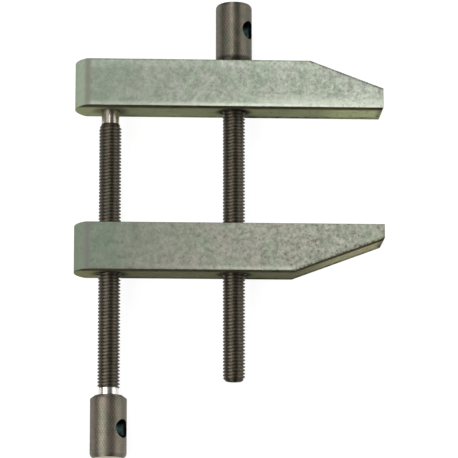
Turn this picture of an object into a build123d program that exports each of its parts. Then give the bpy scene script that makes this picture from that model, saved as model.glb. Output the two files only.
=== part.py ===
from build123d import *
import math
import os

# A parallel clamp lying on the back broad faces of its jaws.
# X runs along the jaws to the nose, Y along the screws to the centre screw's head, Z up.
# The origin is the middle of the whole clamp, on the plane that it lies on.

# Jaws
jaw_length = 138.0
jaw_height = 21.4            # along the screws, from clamping face to outer face
jaw_width = 23.2             # between the two broad faces
rear_end_crown = 5.1         # how far the rounded rear end stands past the broad faces
edge_break = 0.4             # chamfer along every outer edge
opening = 53.0               # between the clamping faces, as the clamp is shown
upper_taper_length = 32.8
upper_nose_height = 9.0
lower_taper_length = 40.1
lower_nose_height = 6.4

# Places of the two screws along the jaws
rear_screw_inset = 15.9      # from the rear end
screw_spacing = 55.5

# Screw thread, plain here at its full diameter
thread_diameter = 10.0
thread_fit = 0.05            # radial clearance in the tapped holes
thread_mouth = 0.6           # countersink round each tapped hole

# Screw spindles
centre_spindle_length = 144.8    # from the head's seat to the free end
rear_spindle_length = 137.1      # from the head's seat to the tip
neck_diameter = 9.0              # plain shank, as on a rolled thread
neck_length = 3.2                # seen between the head and the thread
spigot_length = 9.0              # the shank's stretch inside the head
spigot_lead = 0.4
free_end_chamfer = 1.4
end_crown = 0.35                 # height of the dome on a spindle's end
tip_diameter = 8.0
tip_length = 14.2
tip_chamfer = 0.6
thread_start = 2.0               # cone from the tip up to the full thread

# Screw heads
head_diameter = 16.4             # over the knurl
head_length = 27.8               # from the seat to the free end
seat_diameter = 12.4             # flat ring at the inner end
shoulder_fall = 1.2              # how far the inner end slopes back from the seat
head_chamfer = 0.4               # at the foot of the knurl
head_end_round = 2.2             # round the free end
press_interference = 0.01        # radial, spigot in head
spigot_end_room = 0.5            # left in the blind bore beyond the spigot
bar_hole_diameter = 8.3
bar_hole_place = 15.1            # from the seat
centre_bar_angle = 57.0          # turn of the bar hole from straight up towards +X
rear_bar_angle = 54.0

# Holes of the upper jaw
clearance_hole = 10.4            # the centre spindle passes through it
socket_diameter = 8.3            # blind, for the rear spindle's tip
socket_depth = 8.0
hole_mouth = 0.2                 # edge break round both
seat_gap = 0.6                   # the open clamp's slack, centre head to upper jaw
tip_gap = 0.1                    # between the rear tip and the socket's floor

# Places worked out from the sizes
rear_screw_x = rear_screw_inset - jaw_length / 2
centre_screw_x = rear_screw_x + screw_spacing
screw_z = jaw_width / 2
thread_radius = thread_diameter / 2
neck_radius = neck_diameter / 2
head_radius = head_diameter / 2
above_lower_jaw = opening + jaw_height + seat_gap + head_length
below_lower_jaw = rear_spindle_length + tip_gap - socket_depth - opening + head_length
lower_clamp_y = (below_lower_jaw - above_lower_jaw) / 2
upper_clamp_y = lower_clamp_y + opening
centre_seat_y = upper_clamp_y + jaw_height + seat_gap
rear_seat_y = upper_clamp_y + socket_depth - tip_gap - rear_spindle_length


def bar_along_y(x, radius, start_y, end_y):
    middle = Pos(x, (start_y + end_y) / 2, screw_z)
    return middle * Rot(90, 0, 0) * Cylinder(radius, end_y - start_y)


def mouth_at(x, radius, depth, face_y, outward):
    # A countersink of 45 degrees whose wide end lies in the face
    cone = Cone(radius + depth, radius, depth)
    turn = Rot(90, 0, 0) if outward > 0 else Rot(-90, 0, 0)
    return Pos(x, face_y - outward * depth / 2, screw_z) * turn * cone


def jaw_blank(taper_length, nose_height):
    # Clamping face on y = 0, outer face towards +Y, nose at +X
    rear = -jaw_length / 2
    nose = jaw_length / 2
    side = Polyline(
        (rear, 0),
        (nose, 0),
        (nose, nose_height),
        (nose - taper_length, jaw_height),
        (rear, jaw_height),
        close=True,
    )
    slab = extrude(make_face(side), jaw_width)
    crown = ThreePointArc(
        (rear + rear_end_crown, 0),
        (rear, jaw_width / 2),
        (rear + rear_end_crown, jaw_width),
    )
    sides = Polyline(
        (rear + rear_end_crown, jaw_width),
        (nose, jaw_width),
        (nose, 0),
        (rear + rear_end_crown, 0),
    )
    plan_plane = Plane(origin=(0, 0, 0), x_dir=(1, 0, 0), z_dir=(0, -1, 0))
    plan = plan_plane * make_face(Curve() + [crown, sides])
    blank = slab & extrude(plan, -jaw_height)
    return chamfer(blank.edges(), edge_break)


def upper_jaw():
    jaw = Pos(0, upper_clamp_y, 0) * jaw_blank(upper_taper_length, upper_nose_height)
    outer_y = upper_clamp_y + jaw_height
    hole_radius = clearance_hole / 2
    socket_radius = socket_diameter / 2
    jaw -= bar_along_y(centre_screw_x, hole_radius, upper_clamp_y, outer_y)
    jaw -= mouth_at(centre_screw_x, hole_radius, hole_mouth, upper_clamp_y, -1)
    jaw -= mouth_at(centre_screw_x, hole_radius, hole_mouth, outer_y, 1)
    jaw -= bar_along_y(rear_screw_x, socket_radius, upper_clamp_y, upper_clamp_y + socket_depth)
    jaw -= mouth_at(rear_screw_x, socket_radius, hole_mouth, upper_clamp_y, -1)
    return jaw


def lower_jaw():
    blank = jaw_blank(lower_taper_length, lower_nose_height).mirror(Plane.XZ)
    jaw = Pos(0, lower_clamp_y, 0) * blank
    outer_y = lower_clamp_y - jaw_height
    hole_radius = thread_radius + thread_fit
    for x in (rear_screw_x, centre_screw_x):
        jaw -= bar_along_y(x, hole_radius, outer_y, lower_clamp_y)
        jaw -= mouth_at(x, hole_radius, thread_mouth, lower_clamp_y, 1)
        jaw -= mouth_at(x, hole_radius, thread_mouth, outer_y, -1)
    return jaw


def spindle(length, end_points, end_radius):
    # Head's seat on y = 0, spigot towards +Y, thread towards -Y
    outline = Polyline(
        (0, spigot_length),
        (neck_radius - spigot_lead, spigot_length),
        (neck_radius, spigot_length - spigot_lead),
        (neck_radius, -neck_length),
        (thread_radius, neck_radius - thread_radius - neck_length),
        *end_points,
        (end_radius, end_crown - length),
    )
    # The dome leaves the axis square to it and falls to the edge of the end
    dome_radius = (end_radius**2 + end_crown**2) / (2 * end_crown)
    half_angle = math.asin(end_radius / dome_radius) / 2
    dome_middle = (
        dome_radius * math.sin(half_angle),
        dome_radius * (1 - math.cos(half_angle)) - length,
    )
    dome = ThreePointArc((end_radius, end_crown - length), dome_middle, (0, -length))
    axis_line = Line((0, -length), (0, spigot_length))
    return revolve(make_face(Curve() + [outline, dome, axis_line]), Axis.Y)


def centre_spindle():
    end_points = [(thread_radius, free_end_chamfer + end_crown - centre_spindle_length)]
    end_radius = thread_radius - free_end_chamfer
    turned = spindle(centre_spindle_length, end_points, end_radius)
    return Pos(centre_screw_x, centre_seat_y, screw_z) * turned


def rear_spindle():
    tip_radius = tip_diameter / 2
    end_points = [
        (thread_radius, tip_length + thread_start - rear_spindle_length),
        (tip_radius, tip_length - rear_spindle_length),
        (tip_radius, tip_chamfer + end_crown - rear_spindle_length),
    ]
    turned = spindle(rear_spindle_length, end_points, tip_radius - tip_chamfer)
    return Pos(rear_screw_x, rear_seat_y, screw_z) * turned.mirror(Plane.XZ)


def head(turn):
    # Seat on y = 0, free end towards +Y, with the bar hole right through, turned from upright
    bore_radius = neck_radius - press_interference
    bore_depth = spigot_length + spigot_end_room
    outline = Polyline(
        (0, 0),
        (seat_diameter / 2, 0),
        (head_radius - head_chamfer, shoulder_fall),
        (head_radius, shoulder_fall + head_chamfer),
        (head_radius, head_length),
        (0, head_length),
        close=True,
    )
    body = revolve(make_face(outline), Axis.Y)
    body = fillet(body.edges().group_by(Axis.Y)[-1], head_end_round)
    body -= Pos(0, bore_depth / 2, 0) * Rot(90, 0, 0) * Cylinder(bore_radius, bore_depth)
    body -= Pos(0, bar_hole_place, 0) * Cylinder(bar_hole_diameter / 2, 2 * head_diameter)
    return Rot(0, turn, 0) * body


def centre_head():
    return Pos(centre_screw_x, centre_seat_y, screw_z) * head(centre_bar_angle)


def rear_head():
    return Pos(rear_screw_x, rear_seat_y, screw_z) * head(rear_bar_angle).mirror(Plane.XZ)


os.makedirs("parts", exist_ok=True)
for name, solid in {
    "upper_jaw": upper_jaw(),
    "lower_jaw": lower_jaw(),
    "centre_spindle": centre_spindle(),
    "centre_head": centre_head(),
    "rear_spindle": rear_spindle(),
    "rear_head": rear_head(),
}.items():
    export_step(solid, f"parts/{name}.step")
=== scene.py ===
import math

import bmesh
import bpy
from mathutils import Euler, Matrix, Vector


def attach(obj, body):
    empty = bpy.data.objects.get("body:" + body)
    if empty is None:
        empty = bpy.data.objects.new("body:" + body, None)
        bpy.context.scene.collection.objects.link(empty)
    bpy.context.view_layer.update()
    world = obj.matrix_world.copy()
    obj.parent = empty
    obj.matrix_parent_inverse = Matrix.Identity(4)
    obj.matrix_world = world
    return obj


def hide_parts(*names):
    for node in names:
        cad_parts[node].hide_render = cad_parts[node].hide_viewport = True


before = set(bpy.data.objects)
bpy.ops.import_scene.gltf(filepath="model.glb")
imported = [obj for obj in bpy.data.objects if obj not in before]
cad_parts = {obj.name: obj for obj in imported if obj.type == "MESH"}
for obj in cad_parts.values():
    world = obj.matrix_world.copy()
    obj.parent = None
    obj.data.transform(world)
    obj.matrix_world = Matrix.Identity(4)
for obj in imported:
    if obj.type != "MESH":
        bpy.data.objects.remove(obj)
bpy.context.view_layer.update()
scene = bpy.context.scene

# A parallel clamp lying on the back broad faces of its jaws.
# X runs along the jaws to the nose, Y along the screws to the centre screw's head, Z up.
# Lengths are in millimetres up to the meshes, and MM makes metres of them.
MM = 0.001

# Sizes of the jaws, the same as in the solids
JAW_LENGTH = 138.0
JAW_HEIGHT = 21.4                # along the screws, from clamping face to outer face
JAW_WIDTH = 23.2                 # between the two broad faces
NOSE_X = JAW_LENGTH / 2
CLEARANCE_RADIUS = 5.2           # the centre spindle passes through the upper jaw
SOCKET_RADIUS = 4.15             # blind, for the rear spindle's tip
SOCKET_DEPTH = 8.0
TAPPED_RADIUS = 5.05             # the lower jaw's two threaded holes, plain here too
UPPER_MOUTH = 0.2                # countersinks of the upper jaw's holes
LOWER_MOUTH = 0.6                # and of the lower jaw's

# Each jaw: its clamping face's y, +1 where the outer face looks to +Y and -1 where it looks
# to -Y, the taper's length and the nose's height
UPPER_CLAMP_Y = 53.6
LOWER_CLAMP_Y = 0.6
UPPER_JAW = (UPPER_CLAMP_Y, 1, 32.8, 9.0)
LOWER_JAW = (LOWER_CLAMP_Y, -1, 40.1, 6.4)

# Each screw: its axis's x, its head's seat's y, and +1 where the head is towards +Y
REAR_X = -53.1
CENTRE_X = 2.4
SCREW_Z = 11.6
CENTRE_SCREW = (CENTRE_X, 75.6, 1)
REAR_SCREW = (REAR_X, -75.6, -1)

# Sizes of the spindles
CENTRE_SPINDLE = 144.8           # from the head's seat to the free end
REAR_SPINDLE = 137.1             # from the head's seat to the tip
CREST = 5.0                      # the thread's outer radius
NECK = 3.2                       # plain shank seen between the head and the thread
NECK_RADIUS = 4.5
SPIGOT = 9.0                     # the shank's stretch inside the head
SPIGOT_LEAD = 0.4
TIP_RADIUS = 4.0
TIP_LENGTH = 14.2
TIP_CHAMFER = 0.6
THREAD_START = 2.0               # cone from the tip up to the full thread
END_CHAMFER = 1.4
END_CROWN = 0.35                 # height of the dome on a spindle's end

# Sizes of the heads
HEAD_RADIUS = 8.2
HEAD_LENGTH = 27.8
SEAT_RADIUS = 6.2
SHOULDER_FALL = 1.2              # how far the inner end slopes back from the seat
HEAD_CHAMFER = 0.4               # at the foot of the knurl
HEAD_ROUND = 2.2                 # round the free end
BORE_ROOM = 0.5                  # left in the blind bore beyond the spigot
BAR_HOLE = 4.15                  # radius of the cross hole for a tommy bar
BAR_PLACE = 15.1                 # from the seat
CENTRE_BAR_TURN = 57.0           # from straight up towards +X
REAR_BAR_TURN = 54.0

# Finer forms that the solids don't have, and the steps and margins of the meshes
EDGE_RADIUS = 0.28               # of the jaws' rounded edges
EDGE_STEPS = 4
CROWN_BACK = 0.02                # the rounded rear end stands this far inside the solid's
REAR_CROWN = 5.08                # with CROWN_BACK it is the solid's crown
CROWN_STEPS = 32
CLAMP_BACK = 0.01                # keeps the closed jaws' faces out of one plane
ROOT = 4.15                      # the thread's inner radius
PITCH = 1.5
# The thread's section over one pitch: place along it and radius, a flat crest and a flat root
THREAD_FORM = ((0.0, CREST), (0.2, CREST), (0.52, ROOT), (0.68, ROOT))
SPIGOT_SLACK = 0.01              # between the spigot's wall and the bore's
SEAT_GROOVE = 0.05               # depth of the fine groove round the neck at the head's seat
GROOVE_EDGE = 0.02               # its steep side ends this far from the seat
NECK_LEAD = 0.2                  # and its sloping side this far along the neck
KNURLS = 38                      # diamonds round a head
KNURL_STEPS = 4                  # mesh steps for a diamond, each way
KNURL_AXIAL = 2.4                # length of a diamond along the head
KNURL_DEPTH = 0.16
KNURL_FLAT = 1.55                # in steps from the groove, where a diamond's flat begins
ROUND_LEAD = 0.05                # first ring of points past the start of the rounded end
ROUND_STEPS = 6
BAR_MOUTH = 0.3                  # countersink of the cross hole
TURN_STEPS = 48
HOLE_STEPS = 64
CUTTER_OVER = 1.0                # how far a cutter stands out of what it cuts
BORE_MARGIN = 0.1                # faces this near to a bore's wall or floor belong to it
BAR_MARGIN = 0.02                # and this near to the cross hole's wall to that
MOUTH_MARGIN = 0.05              # and this near to a countersink of a jaw to its hole
ZONE_OVER = 1.0                  # a zone of bright steel goes this far past the spindle's end

# In degrees: edges of the jaws sharper than this are rounded, and folds sharper than the
# others show as edges
ROUNDED_EDGE = 25
JAW_FOLD = 31
THREAD_FOLD = 20
HEAD_FOLD = 40

# Points nearer to each other than this become one
WELD = 0.001
THREAD_WELD = 0.004
KNURL_WELD = 0.002


def new_object(name, mesh):
    obj = bpy.data.objects.new(name, mesh)
    scene.collection.objects.link(obj)
    return obj


def mesh_from(name, verts, faces, weld=WELD):
    """A mesh in metres from points in millimetres."""
    mesh = bpy.data.meshes.new(name)
    mesh.from_pydata([[c * MM for c in point] for point in verts], [], faces)
    bm = bmesh.new()
    bm.from_mesh(mesh)
    bmesh.ops.remove_doubles(bm, verts=bm.verts, dist=weld * MM)
    bmesh.ops.dissolve_degenerate(bm, edges=bm.edges, dist=weld * MM)
    bmesh.ops.recalc_face_normals(bm, faces=bm.faces)
    bm.to_mesh(mesh)
    bm.free()
    mesh.validate()
    return mesh


def applied(obj):
    """The object's mesh with its modifiers in it."""
    graph = bpy.context.evaluated_depsgraph_get()
    mesh = bpy.data.meshes.new_from_object(obj.evaluated_get(graph), depsgraph=graph)
    obj.modifiers.clear()
    obj.data = mesh
    return mesh


def smooth(mesh, angle):
    """Smooth shading, apart from folds sharper than the angle in degrees."""
    for face in mesh.polygons:
        face.use_smooth = True
    mesh.set_sharp_from_angle(angle=math.radians(angle))


def on_screw(x, radius, y, turn):
    """A point round a screw axis. turn is 0 straight up and grows towards +X."""
    return (x + radius * math.sin(turn), y, SCREW_Z + radius * math.cos(turn))


def revolved(profile, x, steps=TURN_STEPS):
    """A closed form turned about a screw axis from (radius, y) points."""
    verts = []
    faces = []
    rings = []
    for radius, y in profile:
        count = steps if radius > 0 else 1
        rings.append([len(verts) + j for j in range(count)])
        verts += [on_screw(x, radius, y, 2 * math.pi * j / steps) for j in range(count)]
    for one, two in zip(rings, rings[1:]):
        for j in range(steps):
            k = (j + 1) % steps
            if len(one) == 1:
                faces.append((one[0], two[j], two[k]))
            elif len(two) == 1:
                faces.append((one[j], two[0], one[k]))
            else:
                faces.append((one[j], two[j], two[k], one[k]))
    return verts, faces


def cut(obj, cutters):
    for cutter in cutters:
        change = obj.modifiers.new("cut", "BOOLEAN")
        change.object = cutter
        change.operation = "DIFFERENCE"
        change.solver = "EXACT"
    mesh = applied(obj)
    for cutter in cutters:
        bpy.data.objects.remove(cutter)
    return mesh


def turned_cutter(profile, x):
    verts, faces = revolved(profile, x, HOLE_STEPS)
    return new_object("cutter", mesh_from("cutter", verts, faces))


def hole_cutter(x, radius, mouth, y_low, y_high, blind=False):
    """A hole along a screw axis with a countersink at each open end."""
    wide = radius + mouth + CUTTER_OVER
    low = y_low - CUTTER_OVER
    high = y_high + CUTTER_OVER
    profile = [(0, low), (wide, low), (radius, y_low + mouth)]
    if blind:
        profile += [(radius, y_high), (0, y_high)]
    else:
        profile += [(radius, y_high - mouth), (wide, high), (0, high)]
    return turned_cutter(profile, x)


def jaw(name, shape, cutters):
    """A bar with a rounded rear end and a tapered nose, its edges rounded and its holes cut."""
    clamp_y, side, taper_length, nose_height = shape
    half = JAW_WIDTH / 2
    taper_x = NOSE_X - taper_length
    radius = (half**2 + REAR_CROWN**2) / (2 * REAR_CROWN)
    spread = math.asin(half / radius)
    arc = []
    for k in range(CROWN_STEPS + 1):
        a = spread * (2 * k / CROWN_STEPS - 1)
        x = CROWN_BACK - NOSE_X + radius * (1 - math.cos(a))
        arc.append((x, half + radius * math.sin(a)))
    # Points (x, distance from the clamping face's plane, z): bottom, top, then the nose's edge
    bottom = [(x, CLAMP_BACK, z) for x, z in arc]
    bottom += [(NOSE_X, CLAMP_BACK, JAW_WIDTH), (NOSE_X, CLAMP_BACK, 0)]
    top = [(x, JAW_HEIGHT, z) for x, z in arc]
    top += [(taper_x, JAW_HEIGHT, JAW_WIDTH), (taper_x, JAW_HEIGHT, 0)]
    nose = [(NOSE_X, nose_height, JAW_WIDTH), (NOSE_X, nose_height, 0)]
    rim = len(bottom)
    front, back = rim - 2, rim - 1
    front_nose, back_nose = 2 * rim, 2 * rim + 1
    faces = [tuple(range(rim)), tuple(reversed(range(rim, 2 * rim)))]
    faces += [(k + 1, k, rim + k, rim + k + 1) for k in range(CROWN_STEPS)]
    faces += [
        (CROWN_STEPS, rim + CROWN_STEPS, rim + front, front_nose, front),
        (0, back, back_nose, rim + back, rim),
        (front, front_nose, back_nose, back),
        (front_nose, rim + front, rim + back, back_nose),
    ]
    verts = [(x, clamp_y + side * y, z) for x, y, z in bottom + top + nose]
    obj = new_object(name, mesh_from(name, verts, faces))
    bevel = obj.modifiers.new("edges", "BEVEL")
    bevel.width = EDGE_RADIUS * MM
    bevel.segments = EDGE_STEPS
    bevel.limit_method = "ANGLE"
    bevel.angle_limit = math.radians(ROUNDED_EDGE)
    bevel.use_clamp_overlap = False
    applied(obj)
    smooth(cut(obj, cutters), JAW_FOLD)
    obj.modifiers.new("normals", "WEIGHTED_NORMAL").keep_sharp = True
    applied(obj)
    return obj


def spindle(name, screw, limit, end_profile):
    """limit gives the thread's greatest radius at a distance from the head's seat, end_profile
    the (radius, distance) points beyond the thread."""
    x, seat_y, side = screw
    thread_end = end_profile[0][1]
    per_turn = len(THREAD_FORM)
    turns = math.ceil((thread_end - NECK) / PITCH) + 2
    rows = turns * per_turn
    verts = []
    faces = []
    # A right-hand thread: it advances along +Y as it turns from +Z to +X
    for j in range(TURN_STEPS):
        for i in range(rows):
            part, radius = THREAD_FORM[i % per_turn]
            along = (i // per_turn - 1 + part - side * j / TURN_STEPS) * PITCH + NECK
            if along <= NECK:
                along = NECK
                radius = CREST
            along = min(along, thread_end)
            radius = min(radius, limit(along))
            verts.append(on_screw(x, radius, seat_y - side * along, 2 * math.pi * j / TURN_STEPS))
    for j in range(TURN_STEPS):
        k = (j + 1) % TURN_STEPS
        # Where the columns close, a column's rows meet those of the next turn
        shift = 0 if k else side * per_turn
        for i in range(rows - 1):
            m = i - shift
            if 0 <= m and m + 1 < rows:
                faces.append((j * rows + i, j * rows + i + 1, k * rows + m + 1, k * rows + m))
    spigot_radius = NECK_RADIUS - SPIGOT_SLACK
    head_side = [
        (0, -SPIGOT),
        (NECK_RADIUS - SPIGOT_LEAD, -SPIGOT),
        (spigot_radius, SPIGOT_LEAD - SPIGOT),
        (spigot_radius, -GROOVE_EDGE),
        (NECK_RADIUS - SEAT_GROOVE, GROOVE_EDGE),
        (NECK_RADIUS, NECK_LEAD),
        (NECK_RADIUS, NECK - NECK_LEAD),
        (NECK_RADIUS, NECK),
    ]
    for profile in (head_side, end_profile):
        base = len(verts)
        more, turned = revolved([(r, seat_y - side * d) for r, d in profile], x)
        verts += more
        faces += [tuple(base + q for q in face) for face in turned]
    mesh = mesh_from(name, verts, faces, THREAD_WELD)
    smooth(mesh, THREAD_FOLD)
    return new_object(name, mesh)


def centre_limit(along):
    rise = NECK_RADIUS + along - NECK
    run = CREST - END_CHAMFER + (CENTRE_SPINDLE - END_CROWN - along)
    return min(CREST, rise, run)


def rear_limit(along):
    rise = NECK_RADIUS + along - NECK
    cone = (CREST - TIP_RADIUS) / THREAD_START
    run = TIP_RADIUS + (REAR_SPINDLE - TIP_LENGTH - along) * cone
    return min(CREST, rise, run)


def dome(radius, end):
    """Points from inside a spindle's end edge to its middle."""
    return [(radius * share, end - END_CROWN * share**2) for share in (0.75, 0.5, 0.25, 0.0)]


def bright_faces(obj, screw, zones):
    """Faces whose distance from the seat is in one of the zones take the second material."""
    _, seat_y, side = screw
    for face in obj.data.polygons:
        along = (seat_y - face.center.y / MM) * side
        face.material_index = int(any(low <= along <= high for low, high in zones))


def knurl_height(column, row):
    """0 in the grooves and 1 on the flats of the diamonds, at KNURL_STEPS steps a diamond."""
    half = KNURL_STEPS // 2
    one = abs((column - row + half) % KNURL_STEPS - half)
    two = abs((column + row + half) % KNURL_STEPS - half)
    return min(one, two, KNURL_FLAT) / KNURL_FLAT


def head_limit(along):
    """The head's plain outline: seat, sloping shoulder, corner, knurl and rounded free end."""
    if along < SHOULDER_FALL:
        rise = HEAD_RADIUS - HEAD_CHAMFER - SEAT_RADIUS
        return SEAT_RADIUS + rise * along / SHOULDER_FALL
    if along < SHOULDER_FALL + HEAD_CHAMFER:
        return HEAD_RADIUS - HEAD_CHAMFER + (along - SHOULDER_FALL)
    beyond = along - (HEAD_LENGTH - HEAD_ROUND)
    if beyond <= 0:
        return HEAD_RADIUS
    return HEAD_RADIUS - HEAD_ROUND + math.sqrt(max(0.0, HEAD_ROUND**2 - beyond**2))


def head(name, screw, bar_turn):
    """A knurled sleeve with a blind bore and a cross hole right through."""
    x, seat_y, side = screw
    columns = KNURLS * KNURL_STEPS
    step = KNURL_AXIAL / KNURL_STEPS
    knurl_start = SHOULDER_FALL + HEAD_CHAMFER
    round_start = HEAD_LENGTH - HEAD_ROUND
    first_row = int(knurl_start / step) + 1
    last_row = int(round_start / step)
    stations = [0.0, SHOULDER_FALL / 2, SHOULDER_FALL, knurl_start]
    stations += [row * step for row in range(first_row, last_row + 1)]
    stations.append(round_start + ROUND_LEAD)
    for k in range(1, ROUND_STEPS + 1):
        stations.append(round_start + HEAD_ROUND * math.sin(math.pi / 2 * k / ROUND_STEPS))
    verts = []
    radii = []
    for along in stations:
        limit = head_limit(along)
        for j in range(columns):
            level = knurl_height(j, along / step)
            radius = min(HEAD_RADIUS - KNURL_DEPTH * (1 - level), limit)
            radii.append(radius)
            verts.append(on_screw(x, radius, seat_y + side * along, 2 * math.pi * j / columns))
    faces = []
    count = len(stations)
    same = 1e-9
    for i in range(count - 1):
        for j in range(columns):
            k = (j + 1) % columns
            a, b = i * columns + j, i * columns + k
            c, d = (i + 1) * columns + k, (i + 1) * columns + j
            # Each square splits along its more level diagonal, or the lower one of two alike
            ac, bd = abs(radii[a] - radii[c]), abs(radii[b] - radii[d])
            lower = radii[a] + radii[c] <= radii[b] + radii[d]
            if ac < bd - same or (abs(ac - bd) < same and lower):
                faces += [(a, b, c), (a, c, d)]
            else:
                faces += [(a, b, d), (b, c, d)]
    faces.append(tuple(range(columns)))
    faces.append(tuple(reversed(range((count - 1) * columns, count * columns))))
    obj = new_object(name, mesh_from(name, verts, faces, KNURL_WELD))
    bore_end = SPIGOT + BORE_ROOM
    bore = [(0, -CUTTER_OVER), (NECK_RADIUS, -CUTTER_OVER), (NECK_RADIUS, bore_end), (0, bore_end)]
    bore_cutter = turned_cutter([(r, seat_y + side * d) for r, d in bore], x)
    cut(obj, [bore_cutter, bar_cutter(x, seat_y + side * BAR_PLACE, bar_turn)])
    return obj


def bar_cutter(x, y, bar_turn):
    """The cross hole through a head, with a countersink at both ends."""
    half = HEAD_RADIUS + 2 * CUTTER_OVER
    reach = HEAD_RADIUS - BAR_MOUTH
    flare = BAR_HOLE + half - reach
    profile = [(0, -half), (flare, -half), (BAR_HOLE, -reach)]
    profile += [(r, -d) for r, d in reversed(profile)]
    cutter = turned_cutter(profile, 0.0)
    to_origin = Matrix.Translation((0, 0, -SCREW_Z * MM))
    upright = Matrix.Rotation(math.radians(90), 4, "X")
    turn = Matrix.Rotation(math.radians(bar_turn), 4, "Y")
    place = Matrix.Translation(Vector((x, y, SCREW_Z)) * MM)
    cutter.data.transform(place @ turn @ upright @ to_origin)
    return cutter


def head_faces(obj, screw, bar_turn):
    """The bores take the second material, the turned ends the third, the knurl keeps the first."""
    x, seat_y, side = screw
    middle = Vector((x, seat_y + side * BAR_PLACE, SCREW_Z))
    bar = Vector((math.sin(math.radians(bar_turn)), 0, math.cos(math.radians(bar_turn))))
    for face in obj.data.polygons:
        arm = face.center / MM - middle
        radius = math.hypot(arm.x, arm.z)
        along = (face.center.y / MM - seat_y) * side
        off_bar = (arm - arm.dot(bar) * bar).length
        in_bore = radius < NECK_RADIUS + BORE_MARGIN and along < SPIGOT + BORE_ROOM + BORE_MARGIN
        across_axis = abs(face.normal.y) > 0.97
        if in_bore or off_bar < BAR_HOLE + BAR_MARGIN:
            face.material_index = 1
        elif across_axis:
            face.material_index = 2
        face.use_smooth = face.material_index > 0
    obj.data.set_sharp_from_angle(angle=math.radians(HEAD_FOLD))


def bored_faces(obj):
    """The walls of a jaw's holes, with their countersinks, take the second material."""
    widest = TAPPED_RADIUS + LOWER_MOUTH + MOUTH_MARGIN
    for face in obj.data.polygons:
        across_axis = abs(face.normal.y) >= 0.9
        for x in (REAR_X, CENTRE_X):
            off_axis = math.hypot(face.center.x / MM - x, face.center.z / MM - SCREW_Z)
            if off_axis < widest and not across_axis:
                face.material_index = 1


# Materials. Colours are display values from 0 to 255.

# Painted highlight along an edge of the broad faces
EDGE_HIGHLIGHT = (236, 242, 224)
RUST = (58, 48, 37)
EDGE_DIRT = (50, 41, 32)
# Painted shade of a screw on the faces round its hole
SCREW_SHADE = (52, 48, 38)
PIT = (84, 72, 62)
SPOT = (112, 96, 80)
# Painted dark line of shade along the jaws' rounded edges
EDGE_SHADE = (70, 58, 46)
# Painted shade at the foot of a head's knurl
HEAD_FOOT_SHADE = (44, 40, 34)
# Painted shade inside the holes
HOLE_SHADE = (14, 16, 16)
# Dark tones of the jaws' hole walls, painted shade
JAW_BORE_SHADE = ((52, 51, 46), (64, 62, 55))
# Teal tones of the heads' hole walls, a painted reflection
HEAD_BORE_REFLECTION = ((140, 180, 176), (160, 200, 194))

# Noise patterns of the jaws: size of the features, detail, roughness and offset
JAW_PATTERNS = {
    "grain": (1.7, 3.0, 0.7, 3.1),
    "fine": (0.6, 2.0, 0.6, 5.7),
    "blotch": (9.0, 4.0, 0.62, 0.0),
    "soft": (3.2, 2.0, 0.5, 60.0),
    # Patches in the painted highlight line
    "highlight_patch": (2.5, 2.0, 0.5, 50.0),
    "cloud": (9.0, 2.0, 0.5, 12.0),
    "rust": (2.4, 3.0, 0.6, 70.0),
    "streak": (0.8, 3.0, 0.6, 9.0),
    "pit": (1.5, 2.0, 0.5, 20.0),
    "spot": (3.0, 3.0, 0.6, 31.0),
    "patch": (4.0, 2.0, 0.5, 40.0),
    "speckle": (0.9, 2.0, 0.6, 44.0),
}

# Looks of the jaws. A pair of numbers is a strength at the rear end and one at the nose.
# A pair of factors brightens the broad faces towards the nose as painted light, up to a given x,
# and a factor pales them towards the outer edge as painted light. The painted highlight line lies
# at a given distance from the clamping face. Each screw's entry gives its x, the strength of a
# painted shade round its hole, and how far from the clamping face that shade reaches.
UPPER_LOOK = {
    "broad": (148, 158, 141),
    "broad_alt": (160, 165, 153),
    "rear_tint": (252, 255, 253),
    "nose_light": (0.89, 1.43),
    "nose_light_to": 62.0,
    "outer_light": 1.18,
    "edge_highlight": (0.28, 1.0),
    "edge_highlight_at": 0.0,
    "highlight_haze": 0.55,
    "side": (160, 166, 130),
    "side_alt": (153, 157, 123),
    "side_back": (163, 170, 134),
    "side_front_shade": (84, 80, 62),
    "side_far": (194, 200, 154),
    "far_lift": (0.25, 0.9),
    "taper_reflection": (170, 176, 138),
    "screw_shade": ((CENTRE_X, 0.95, JAW_HEIGHT), (REAR_X, 0.5, SOCKET_DEPTH)),
    "end": (147, 158, 139),
    "pits": 0.5,
    "spots": 0.0,
    "side_spots": 0.6,
    "outer_line": 0.5,
    "rear_line": 0.2,
    "blush": 0.8,
    "blush_tone": (126, 126, 114),
    "sheen": (96, 96, 80),
}
LOWER_LOOK = {
    "broad": (136, 142, 126),
    "broad_alt": (146, 145, 134),
    "rear_tint": (236, 253, 246),
    "nose_light": (0.86, 1.41),
    "nose_light_to": 36.0,
    "outer_light": 1.0,
    "edge_highlight": (0.0, 0.42),
    "edge_highlight_at": JAW_HEIGHT,
    "highlight_haze": 0.0,
    "side": (131, 133, 104),
    "side_alt": (124, 126, 100),
    "side_back": (124, 128, 99),
    "side_front_shade": (86, 83, 66),
    "side_far": (172, 168, 128),
    "far_lift": (0.6, 0.0),
    "taper_reflection": (190, 187, 148),
    "screw_shade": ((CENTRE_X, 0.9, JAW_HEIGHT), (REAR_X, 0.7, JAW_HEIGHT)),
    "end": (121, 132, 115),
    "pits": 0.8,
    "spots": 0.35,
    "side_spots": 0.35,
    "outer_line": 0.3,
    "rear_line": 0.05,
    "blush": 0.8,
    "blush_tone": (124, 120, 114),
    "sheen": (84, 84, 70),
}

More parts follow.
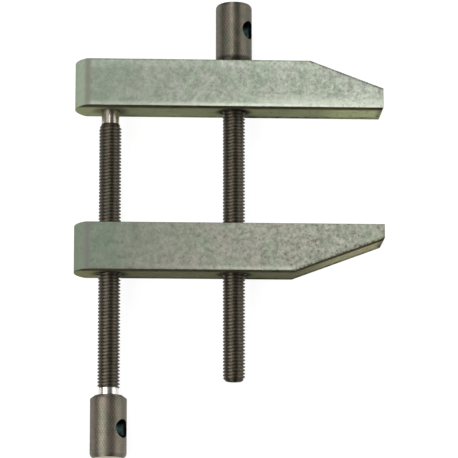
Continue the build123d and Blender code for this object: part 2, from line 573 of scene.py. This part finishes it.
# Looks of the heads: tint of the whole, darker on the centre head as painted shade, strength of
# the painted shade at the knurl's foot, brightness of the flank towards +X, lowered as painted
# shade, and lowest roughness
CENTRE_HEAD_LOOK = {"tint_and_shade": (240, 239, 237), "foot_shade": 0.8, "flank_shade": 0.8, "rough": 0.32}
REAR_HEAD_LOOK = {"tint_and_shade": (255, 252, 250), "foot_shade": 0.15, "flank_shade": 1.0, "rough": 0.35}


def linear(value):
    v = value / 255.0
    return v / 12.92 if v <= 0.04045 else ((v + 0.055) / 1.055) ** 2.4


def colour(value):
    """Three display values become a linear colour, and a socket stays as it is."""
    if isinstance(value, tuple):
        return tuple(linear(v) for v in value) + (1.0,)
    return value


class Nodes:
    """A material's node tree, built by short calls."""

    def __init__(self, name):
        self.material = bpy.data.materials.new(name)
        self.material.use_nodes = True
        self.tree = self.material.node_tree
        self.shader = self.tree.nodes["Principled BSDF"]
        self.coord = self.tree.nodes.new("ShaderNodeTexCoord")

    def link(self, source, target):
        self.tree.links.new(source, target)

    def feed(self, socket, value):
        if isinstance(value, bpy.types.NodeSocket):
            self.link(value, socket)
        else:
            socket.default_value = value

    def axis(self, source, index):
        node = self.tree.nodes.new("ShaderNodeSeparateXYZ")
        self.link(self.coord.outputs[source], node.inputs[0])
        return node.outputs[index]

    def facing(self, index):
        return self.axis("Normal", index)

    def place(self, index):
        """x, y or z in millimetres."""
        return self.math("DIVIDE", self.axis("Object", index), MM)

    def noise(self, size, detail, rough, offset, stretch=(1, 1, 1)):
        """Noise whose features are about size millimetres across."""
        scaled = self.tree.nodes.new("ShaderNodeMapping")
        scaled.inputs["Scale"].default_value = [s / (size * MM) for s in stretch]
        self.link(self.coord.outputs["Object"], scaled.inputs["Vector"])
        node = self.tree.nodes.new("ShaderNodeTexNoise")
        node.noise_dimensions = "4D"
        self.link(scaled.outputs["Vector"], node.inputs["Vector"])
        node.inputs["W"].default_value = offset
        node.inputs["Scale"].default_value = 1.0
        node.inputs["Detail"].default_value = detail
        node.inputs["Roughness"].default_value = rough
        return node.outputs["Fac"]

    def tint(self, size, offset, detail=3.0):
        """Clouds from 0 to 1, to mix two tones."""
        return self.spread(self.noise(size, detail, 0.6, offset), 0.35, 0.65)

    def spread(self, value, low, high, to_low=0.0, to_high=1.0, kind="SMOOTHSTEP"):
        """to_low where the value is low, to_high where it is high, and a smooth way between."""
        node = self.tree.nodes.new("ShaderNodeMapRange")
        node.interpolation_type = kind
        self.feed(node.inputs["Value"], value)
        node.inputs["From Min"].default_value = low
        node.inputs["From Max"].default_value = high
        node.inputs["To Min"].default_value = to_low
        node.inputs["To Max"].default_value = to_high
        return node.outputs["Result"]

    def math(self, kind, *values):
        node = self.tree.nodes.new("ShaderNodeMath")
        node.operation = kind
        for socket, value in zip(node.inputs, values):
            self.feed(socket, value)
        return node.outputs["Value"]

    def times(self, first, *others):
        for other in others:
            first = self.math("MULTIPLY", first, other)
        return first

    def most(self, first, *others):
        for other in others:
            first = self.math("MAXIMUM", first, other)
        return first

    def plus(self, one, two):
        return self.math("ADD", one, two)

    def minus(self, one, two):
        return self.math("SUBTRACT", one, two)

    def absolute(self, value):
        return self.math("ABSOLUTE", value)

    def without(self, share):
        return self.minus(1.0, share)

    def mix(self, factor, one, two, kind="MIX"):
        node = self.tree.nodes.new("ShaderNodeMix")
        node.data_type = "RGBA"
        node.blend_type = kind
        self.feed(node.inputs["Factor"], factor)
        first, second = [s for s in node.inputs if s.type == "RGBA"]
        self.feed(first, colour(one))
        self.feed(second, colour(two))
        return next(s for s in node.outputs if s.type == "RGBA")

    def tinted(self, base, tone, share=1.0):
        """The base times the tone, which is a colour or a number."""
        return self.mix(share, base, tone, "MULTIPLY")

    def vector(self, kind, one, two=None):
        node = self.tree.nodes.new("ShaderNodeVectorMath")
        node.operation = kind
        self.link(one, node.inputs[0])
        if two is not None:
            node.inputs[1].default_value = two
        return node.outputs[0]

    def radial(self, x):
        """Distance from a screw axis in millimetres."""
        across = self.minus(self.place(0), x)
        above = self.minus(self.place(2), SCREW_Z)
        squares = self.plus(self.times(across, across), self.times(above, above))
        return self.math("SQRT", squares)

    def bump(self, height, distance, strength):
        node = self.tree.nodes.new("ShaderNodeBump")
        node.inputs["Strength"].default_value = strength
        node.inputs["Distance"].default_value = distance * MM
        self.link(height, node.inputs["Height"])
        return node.outputs["Normal"]

    def rounded_normal(self, x, share, normal):
        """The normal turned by a share towards that of a plain cylinder round a screw axis."""
        axis_point = (x * MM, 0.0, SCREW_Z * MM)
        off_axis = self.vector("SUBTRACT", self.coord.outputs["Object"], axis_point)
        outward = self.vector("MULTIPLY", off_axis, (1.0, 0.0, 1.0))
        world = self.tree.nodes.new("ShaderNodeVectorTransform")
        world.vector_type = "NORMAL"
        world.convert_from = "OBJECT"
        world.convert_to = "WORLD"
        self.link(outward, world.inputs[0])
        blend = self.tree.nodes.new("ShaderNodeMix")
        blend.data_type = "VECTOR"
        blend.inputs["Factor"].default_value = share
        one, two = [s for s in blend.inputs if s.identifier in ("A_Vector", "B_Vector")]
        self.link(normal, one)
        self.link(world.outputs[0], two)
        return self.vector("NORMALIZE", next(s for s in blend.outputs if s.type == "VECTOR"))

    def finish(self, base, rough, metallic, normal, specular=None):
        self.feed(self.shader.inputs["Base Color"], base)
        self.feed(self.shader.inputs["Roughness"], rough)
        self.feed(self.shader.inputs["Metallic"], metallic)
        self.link(normal, self.shader.inputs["Normal"])
        if specular is not None:
            self.feed(self.shader.inputs["Specular IOR Level"], specular)
        return self.material


class JawFinish(Nodes):
    """Ground and oxidised steel. look holds a jaw's colours, its painted light and shade, and the
    strength of its marks.
    """

    def __init__(self, name, look, shape, seed):
        super().__init__(name)
        clamp_y, side, self.taper_length, self.nose_height = shape
        self.look = look
        self.seed = seed
        self.nx, self.ny, self.nz = (self.facing(k) for k in range(3))
        self.px, self.py, self.pz = (self.place(k) for k in range(3))
        self.from_clamp = self.times(self.minus(self.py, clamp_y), side)
        # 1 on the broad faces, and 1 on the clamping, outer and taper faces
        self.flat = self.spread(self.absolute(self.nz), 0.86, 0.98)
        self.upright = self.spread(self.absolute(self.ny), 0.72, 0.92)
        self.grain = self.pattern("grain")
        self.fine = self.pattern("fine")

    def pattern(self, key, stretch=(1, 1, 1)):
        size, detail, rough, offset = JAW_PATTERNS[key]
        return self.noise(size, detail, rough, self.seed + offset, stretch)

    def broad(self):
        """Blotches of two tones and a grain that grows stronger towards the nose, with painted
        light that brightens the face towards the nose.
        """
        blotch = self.spread(self.pattern("blotch"), 0.36, 0.64)
        face = self.mix(blotch, self.look["broad"], self.look["broad_alt"])
        gain = self.spread(self.px, -60.0, 45.0, 0.7, 2.1, "LINEAR")
        tone = self.times(
            self.plus(1.0, self.times(self.minus(self.grain, 0.5), gain)),
            self.spread(self.pattern("soft"), 0.3, 0.7, 0.92, 1.08),
            self.spread(self.fine, 0.25, 0.75, 0.9, 1.1),
            # Painted light, brighter towards the nose
            self.spread(self.px, -55.0, self.look["nose_light_to"], *self.look["nose_light"], "LINEAR"),
        )
        face = self.tinted(face, tone)
        # Paler towards the outer edge, which is painted light, and greener towards the rounded end
        near_outer = (JAW_HEIGHT - 5.0, JAW_HEIGHT - 0.8)
        outer = self.spread(self.from_clamp, *near_outer, 1.0, self.look["outer_light"])
        face = self.tinted(face, outer)
        rear = self.spread(self.px, -58.0, -30.0, 1.0, 0.0)
        return self.mix(rear, face, self.tinted(face, self.look["rear_tint"]))

    def edge_highlight_line(self):
        """A painted highlight along the broad faces' edge towards -Y, in the shape of a worn line,
        and a painted haze of light beside it.
        """
        from_line = self.absolute(self.minus(self.from_clamp, self.look["edge_highlight_at"]))
        edge_highlight = self.times(
            self.without(self.spread(from_line, 0.5, 2.6)),
            self.spread(self.px, -45.0, 25.0, *self.look["edge_highlight"]),
            self.spread(self.pattern("highlight_patch"), 0.3, 0.6, 0.6, 1.0),
        )
        highlight_haze = self.times(
            self.spread(from_line, 1.5, 6.5, self.look["highlight_haze"], 0.0),
            self.spread(self.px, 0.0, 30.0),
        )
        return edge_highlight, highlight_haze

    def narrow(self):
        """Clouds and long machining streaks, with painted shade towards the front broad face."""
        look = self.look
        cloud = self.spread(self.pattern("cloud"), 0.35, 0.65)
        face = self.mix(cloud, look["side"], look["side_alt"])
        face = self.mix(self.spread(self.pz, 8.0, 1.0), face, look["side_back"])
        at_rear, at_nose = look["far_lift"]
        far = self.most(
            self.spread(self.px, -48.0, -60.0, 0.0, at_rear),
            self.spread(self.px, 38.0, 52.0, 0.0, at_nose),
        )
        face = self.mix(far, face, look["side_far"])
        # The taper faces take a paler colour, a painted reflection of the floor
        face = self.mix(self.spread(self.nx, 0.12, 0.26), face, look["taper_reflection"])
        rust = self.spread(self.pattern("rust", (0.7, 1, 1)), 0.5, 0.66, 0.0, 0.85)
        # Painted shade towards the front broad face, with rust patches in it
        front = self.spread(self.pz, 16.2, 19.8)
        face = self.mix(front, face, self.mix(rust, look["side_front_shade"], RUST))
        # Dirt along the back edge and the nose's edge, stronger towards the nose
        back_edge = self.times(
            self.spread(self.pz, 6.0, 2.2),
            self.spread(self.px, -50.0, 30.0, 0.25, 1.0),
        )
        nose_edge = self.times(self.spread(self.px, NOSE_X - 3.4, NOSE_X - 1.0), 0.9)
        patchy = self.spread(rust, 0.0, 0.5, 0.5, 1.0)
        face = self.mix(self.times(self.most(back_edge, nose_edge), patchy), face, EDGE_DIRT)
        # The faces towards +Y are as clean as the ends
        face = self.mix(self.spread(self.ny, -0.3, 0.3), face, look["end"])
        # Painted shade of each screw on the faces round its hole
        for x, strength, reach in look["screw_shade"]:
            ring = self.times(
                self.spread(self.radial(x), 5.6, 9.5, strength, 0.0),
                self.spread(self.from_clamp, reach, reach + 1.0, 1.0, 0.0),
            )
            face = self.mix(ring, face, SCREW_SHADE)
        streaks = self.spread(self.pattern("streak", (0.04, 1, 1)), 0.3, 0.7, 0.82, 1.15)
        return self.tinted(face, streaks, self.spread(self.ny, -0.3, 0.3, 1.0, 0.35))

    def marked(self, base):
        """Small dark pits and brown spots, more of them towards the nose."""
        pits = self.times(
            self.spread(self.pattern("pit"), 0.60, 0.68),
            self.spread(self.px, -60.0, 60.0, 0.25, 0.8, "LINEAR"),
            self.look["pits"],
        )
        base = self.mix(pits, base, PIT)
        share = (self.look["side_spots"], self.look["spots"])
        spots = self.times(
            self.spread(self.pattern("spot"), 0.56, 0.72),
            self.spread(self.px, -10.0, 35.0),
            self.spread(self.flat, 0.0, 1.0, *share, "LINEAR"),
        )
        return self.mix(spots, base, SPOT)

    def edge_shade(self, edge_highlight):
        """A painted dark line of shade along the rounded edges, where the painted highlight isn't.
        """
        over = self.absolute(self.ny)
        corner = self.most(self.absolute(self.nz), over, self.absolute(self.nx))
        # The soft edges between the rounded end and the broad faces have none
        arc = self.times(
            self.spread(self.nx, -0.80, -0.66, 1.0, 0.0),
            self.spread(over, 0.08, 0.25, 1.0, 0.0),
        )
        rear = self.most(
            self.spread(self.nx, -0.5, -0.2, self.look["rear_line"], 1.0),
            self.spread(over, 0.1, 0.3),
        )
        return self.times(
            self.spread(corner, 0.985, 0.9),
            self.spread(over, 0.9, 0.93, 1.0, 0.0),
            self.spread(self.pattern("patch"), 0.3, 0.6, 0.5, 1.0),
            self.without(arc),
            self.without(edge_highlight),
            rear,
        )

    def outer_edge_shade(self):
        """The same painted dark line a little way on to the broad faces, most of all beside the
        taper.
        """
        fall = JAW_HEIGHT - self.nose_height
        slope = math.hypot(self.taper_length, fall)
        from_outer = self.minus(JAW_HEIGHT, self.from_clamp)
        before_taper = self.minus(NOSE_X - self.taper_length, self.px)
        from_taper = self.plus(
            self.times(before_taper, fall / slope),
            self.times(from_outer, self.taper_length / slope),
        )
        line = self.most(
            self.spread(from_taper, 0.4, 1.3, 0.8, 0.0),
            self.spread(from_outer, 0.3, 0.9, self.look["outer_line"], 0.0),
        )
        speckle = self.spread(self.pattern("speckle"), 0.4, 0.6, 0.3, 1.0)
        return self.times(line, speckle, self.flat)

    def blush(self, base):
        """A soft pinkish grey band along the edge between the rounded end and the front."""
        from_edge = self.absolute(self.plus(self.px, NOSE_X - REAR_CROWN - 0.5))
        band = self.times(
            self.spread(from_edge, 0.0, 2.2, self.look["blush"], 0.0),
            self.spread(self.nz, 0.3, 0.5),
        )
        return self.mix(band, base, self.look["blush_tone"])

    def build(self):
        edge_highlight, highlight_haze = self.edge_highlight_line()
        # The painted highlight and its haze of light on the broad faces
        face = self.mix(self.most(edge_highlight, highlight_haze), self.broad(), EDGE_HIGHLIGHT)
        ends = self.tinted(self.look["end"], self.spread(self.grain, 0.3, 0.7, 0.92, 1.08))
        base = self.mix(self.upright, ends, self.narrow())
        base = self.marked(self.mix(self.flat, base, face))
        # Painted dark lines of shade along the rounded edges and beside the outer edge and taper
        base = self.mix(self.most(self.edge_shade(edge_highlight), self.outer_edge_shade()), base, EDGE_SHADE)
        # The narrow faces are the smoothest, and only the broad ones have a gloss
        sleek = self.times(self.upright, self.without(self.flat))
        rough = self.minus(
            self.spread(self.grain, 0.3, 0.7, 0.52, 0.66),
            self.times(sleek, 0.3),
        )
        height = self.plus(self.times(self.grain, 0.6), self.fine)
        self.shader.inputs["Specular Tint"].default_value = colour(self.look["sheen"])
        return self.finish(
            self.blush(base),
            rough,
            metallic=self.times(self.flat, 0.3),
            normal=self.bump(height, 0.05, 0.45),
            specular=self.times(self.flat, 0.4),
        )


def thread_material(name, x, seed):
    """Blackened steel, paler on the crests, partly from rubbed wear and partly as a painted glint.
    """
    n = Nodes(name)
    crest = n.spread(n.radial(x), ROOT + 0.15, CREST - 0.05)
    tint = n.tint(5.0, seed)
    dark = n.mix(tint, (53, 49, 41), (58, 52, 44))
    light = n.mix(tint, (84, 81, 69), (95, 87, 75))
    rubbed_glint = n.spread(n.noise(1.6, 2.0, 0.6, seed + 4), 0.3, 0.7, 0.5, 1.0)
    # Paler crests: partly rubbed wear, partly painted glint
    base = n.mix(n.times(crest, rubbed_glint), dark, light)
    rough = n.spread(n.noise(1.0, 2.0, 0.6, seed + 8), 0.3, 0.7, 0.34, 0.46)
    normal = n.bump(n.noise(0.5, 2.0, 0.6, seed + 11), 0.02, 0.4)
    return n.finish(base, rough, 0.9, n.rounded_normal(x, 0.92, normal))


def bright_material(name, seed):
    """Bright turned steel, a darker and warmer grey towards +Y, where the rear spindle's tip is;
    the tip's darker grey is painted shade.
    """
    n = Nodes(name)
    rings = n.noise(0.35, 2.0, 0.5, seed, (0.05, 1, 0.05))
    tint = n.tint(3.0, seed + 2, detail=2.0)
    neck = n.mix(tint, (214, 208, 196), (226, 222, 214))
    shaded_tip = n.mix(tint, (180, 169, 156), (190, 180, 167))
    # The tip's darker grey is painted shade
    base = n.mix(n.spread(n.place(1), -10.0, 10.0), neck, shaded_tip)
    rough = n.spread(rings, 0.3, 0.7, 0.25, 0.27)
    return n.finish(base, rough, 1.0, n.bump(rings, 0.004, 0.2))


def head_material(name, screw, seed, look):
    """Grey-brown knurled steel, paler on the worn crests and darker in the grooves, where the
    darkening is painted shade.
    """
    x, seat_y, side = screw
    n = Nodes(name)
    crest = n.spread(n.radial(x), HEAD_RADIUS - KNURL_DEPTH, HEAD_RADIUS - 0.03)
    tint = n.tint(3.0, seed)
    # Paler crests and darker grooves; the darker grooves are painted shade
    dark = n.mix(tint, (90, 92, 80), (106, 97, 88))
    light = n.mix(tint, (106, 109, 95), (128, 117, 106))
    # Painted shade: the tint darkens the centre head, and the flank term darkens its side towards
    # +X
    base = n.tinted(n.mix(crest, dark, light), look["tint_and_shade"])
    base = n.tinted(base, n.spread(n.minus(n.place(0), x), 2.0, 5.0, 1.0, look["flank_shade"]))
    along = n.times(n.minus(n.place(1), seat_y), side)
    # Painted shade at the knurl's foot, next to the jaw
    foot = n.times(n.spread(along, 2.0, 3.4, 1.0, 0.0), look["foot_shade"])
    base = n.mix(foot, base, HEAD_FOOT_SHADE)
    lowest = look["rough"]
    rough = n.spread(n.noise(1.2, 2.0, 0.6, seed + 8), 0.3, 0.7, lowest, lowest + 0.1)
    normal = n.bump(n.noise(0.5, 2.0, 0.6, seed + 11), 0.03, 0.5)
    return n.finish(base, rough, 0.85, n.rounded_normal(x, 0.85, normal))


def bore_material(name, seed, tones, x=None):
    """Painted shade, near black, on the walls that look along Y and, in the head whose axis is at
    x, near the cross hole's mouths."""
    n = Nodes(name)
    tint = n.tint(2.0, seed)
    # Painted shade on the walls that look along Y
    painted_shade = n.spread(n.absolute(n.facing(1)), 0.2, 0.7)
    if x is not None:
        painted_shade = n.most(painted_shade, n.spread(n.radial(x), 6.0, 7.0))
    base = n.mix(painted_shade, n.mix(tint, *tones), HOLE_SHADE)
    rough = n.spread(tint, 0.0, 1.0, 0.35, 0.5)
    normal = n.bump(n.noise(0.4, 2.0, 0.5, seed + 3), 0.02, 0.4)
    return n.finish(base, rough, n.times(n.without(painted_shade), 0.7), normal, specular=0.1)


def turned_material(name, seed):
    """Pale turned steel of the heads' flat ends."""
    n = Nodes(name)
    tint = n.tint(2.5, seed)
    base = n.mix(tint, (150, 142, 118), (176, 168, 142))
    rough = n.spread(tint, 0.0, 1.0, 0.3, 0.45)
    normal = n.bump(n.noise(0.4, 2.0, 0.5, seed + 3), 0.02, 0.4)
    return n.finish(base, rough, 0.8, normal)


# The pieces

upper_outer_y = UPPER_CLAMP_Y + JAW_HEIGHT
socket_end_y = UPPER_CLAMP_Y + SOCKET_DEPTH
lower_outer_y = LOWER_CLAMP_Y - JAW_HEIGHT
upper_holes = [
    hole_cutter(CENTRE_X, CLEARANCE_RADIUS, UPPER_MOUTH, UPPER_CLAMP_Y, upper_outer_y),
    hole_cutter(REAR_X, SOCKET_RADIUS, UPPER_MOUTH, UPPER_CLAMP_Y, socket_end_y, blind=True),
]
lower_holes = [
    hole_cutter(x, TAPPED_RADIUS, LOWER_MOUTH, lower_outer_y, LOWER_CLAMP_Y)
    for x in (REAR_X, CENTRE_X)
]
upper_jaw = jaw("upper_jaw_steel", UPPER_JAW, upper_holes)
lower_jaw = jaw("lower_jaw_steel", LOWER_JAW, lower_holes)

centre_end_radius = CREST - END_CHAMFER
centre_end = [(centre_end_radius, CENTRE_SPINDLE - END_CROWN)]
centre_end += dome(centre_end_radius, CENTRE_SPINDLE)
rear_end_radius = TIP_RADIUS - TIP_CHAMFER
rear_end = [
    (TIP_RADIUS, REAR_SPINDLE - TIP_LENGTH),
    (TIP_RADIUS, REAR_SPINDLE - TIP_CHAMFER - END_CROWN),
    (rear_end_radius, REAR_SPINDLE - END_CROWN),
]
rear_end += dome(rear_end_radius, REAR_SPINDLE)
centre_spindle = spindle("centre_spindle_thread", CENTRE_SCREW, centre_limit, centre_end)
rear_spindle = spindle("rear_spindle_thread", REAR_SCREW, rear_limit, rear_end)
centre_head = head("centre_head_knurled", CENTRE_SCREW, CENTRE_BAR_TURN)
rear_head = head("rear_head_knurled", REAR_SCREW, REAR_BAR_TURN)

# Their finishes

for obj, finish, look, shape, seed in (
    (upper_jaw, "upper_jaw_finish", UPPER_LOOK, UPPER_JAW, 1.0),
    (lower_jaw, "lower_jaw_finish", LOWER_LOOK, LOWER_JAW, 7.0),
):
    obj.data.materials.append(JawFinish(finish, look, shape, seed).build())
    obj.data.materials.append(bore_material(obj.name + "_bore", 1.0, JAW_BORE_SHADE))
    bored_faces(obj)

neck_zone = (-SPIGOT - ZONE_OVER, NECK)
tip_zone = (REAR_SPINDLE - TIP_LENGTH, REAR_SPINDLE + ZONE_OVER)
for obj, screw, seed, bright_zones in (
    (centre_spindle, CENTRE_SCREW, 2.0, [neck_zone]),
    (rear_spindle, REAR_SCREW, 6.0, [neck_zone, tip_zone]),
):
    obj.data.materials.append(thread_material(obj.name + "_dark", screw[0], seed))
    obj.data.materials.append(bright_material(obj.name + "_bright", seed))
    bright_faces(obj, screw, bright_zones)

for obj, screw, bar_turn, seed, look in (
    (centre_head, CENTRE_SCREW, CENTRE_BAR_TURN, 3.0, CENTRE_HEAD_LOOK),
    (rear_head, REAR_SCREW, REAR_BAR_TURN, 8.0, REAR_HEAD_LOOK),
):
    obj.data.materials.append(head_material(obj.name + "_knurl", screw, seed, look))
    obj.data.materials.append(bore_material(obj.name + "_bore", seed, HEAD_BORE_REFLECTION, screw[0]))
    obj.data.materials.append(turned_material(obj.name + "_face", seed))
    head_faces(obj, screw, bar_turn)

for obj, node, body, slot in (
    (upper_jaw, "upper_jaw", "upper_jaw", "jaw_steel"),
    (lower_jaw, "lower_jaw", "lower_jaw", "jaw_steel"),
    (centre_spindle, "centre_spindle", "centre_screw", "spindle_steel"),
    (rear_spindle, "rear_spindle", "rear_screw", "spindle_steel"),
    (centre_head, "centre_head", "centre_screw", "head_steel"),
    (rear_head, "rear_head", "rear_screw", "head_steel"),
):
    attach(obj, body)
    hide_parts(node)

# Floor, light and camera. Their places and sizes are in metres.

FLOOR_REACH = 3.0
FLOOR_DROP = 0.0002              # keeps the floor clear of the jaws' back faces


def floor():
    r = FLOOR_REACH
    corners = [(-r, -r, 0), (r, -r, 0), (r, r, 0), (-r, r, 0)]
    mesh = bpy.data.meshes.new("floor")
    mesh.from_pydata(corners, [], [(0, 1, 2, 3)])
    obj = new_object("floor", mesh)
    obj.location.z = -FLOOR_DROP
    n = Nodes("floor_paper")
    tree = n.tree
    paper = n.spread(n.noise(40.0, 2.0, 0.5, 0.0), 0.3, 0.7, 0.79, 0.81)
    grey = tree.nodes.new("ShaderNodeCombineColor")
    for socket in grey.inputs[:3]:
        n.link(paper, socket)
    n.link(grey.outputs[0], n.shader.inputs["Base Color"])
    n.shader.inputs["Roughness"].default_value = 0.9
    n.shader.inputs["Specular IOR Level"].default_value = 0.1
    # Seen by the camera or in a reflection the paper is white, and keeps a faint shadow
    seen = tree.nodes.new("ShaderNodeBsdfDiffuse")
    seen.inputs["Color"].default_value = (0.2, 0.2, 0.2, 1)
    glow = tree.nodes.new("ShaderNodeEmission")
    glow.inputs["Strength"].default_value = 0.92
    white = tree.nodes.new("ShaderNodeAddShader")
    n.link(seen.outputs[0], white.inputs[0])
    n.link(glow.outputs[0], white.inputs[1])
    path = tree.nodes.new("ShaderNodeLightPath")
    rays = ("Is Camera Ray", "Is Glossy Ray", "Is Transmission Ray")
    swap = tree.nodes.new("ShaderNodeMixShader")
    n.link(n.most(*(path.outputs[ray] for ray in rays)), swap.inputs[0])
    n.link(n.shader.outputs[0], swap.inputs[1])
    n.link(white.outputs[0], swap.inputs[2])
    n.link(swap.outputs[0], tree.nodes["Material Output"].inputs["Surface"])
    mesh.materials.append(n.material)


def softbox(name, place, size_x, size_y, power):
    """A rectangular lamp that looks at the origin, with its own Y near the scene's."""
    lamp = bpy.data.lights.new(name, "AREA")
    lamp.shape = "RECTANGLE"
    lamp.size = size_x
    lamp.size_y = size_y
    lamp.energy = power
    obj = new_object(name, lamp)
    obj.location = place
    back = Vector(place).normalized()
    upward = Vector((0, 1, 0))
    upward = (upward - upward.dot(back) * back).normalized()
    obj.rotation_euler = Matrix((upward.cross(back), upward, back)).transposed().to_euler()


floor()
softbox("light_left", (-0.70, -0.22, 0.80), 0.80, 0.88, 8.6)
softbox("light_far", (-0.25, 0.66, 0.90), 0.24, 0.75, 4.1)
softbox("light_right", (0.92, 0.14, 0.45), 0.84, 1.30, 6.0)

world = bpy.data.worlds.new("studio")
scene.world = world
world.use_nodes = True
world.node_tree.nodes["Background"].inputs["Color"].default_value = (1, 1, 1, 1)
world.node_tree.nodes["Background"].inputs["Strength"].default_value = 0.12

camera_data = bpy.data.cameras.new("camera")
camera_data.sensor_width = 36.0
camera_data.lens = 244.649
camera_data.clip_start = 0.01
camera_data.clip_end = 20.0
camera = new_object("camera", camera_data)
camera.location = (-0.06627, -0.27052, 1.37472)
turn = [math.radians(a) for a in (11.2104, -2.7885, -0.0158)]
camera.rotation_euler = Euler(turn, "XYZ")
scene.camera = camera

scene.view_settings.view_transform = "Standard"
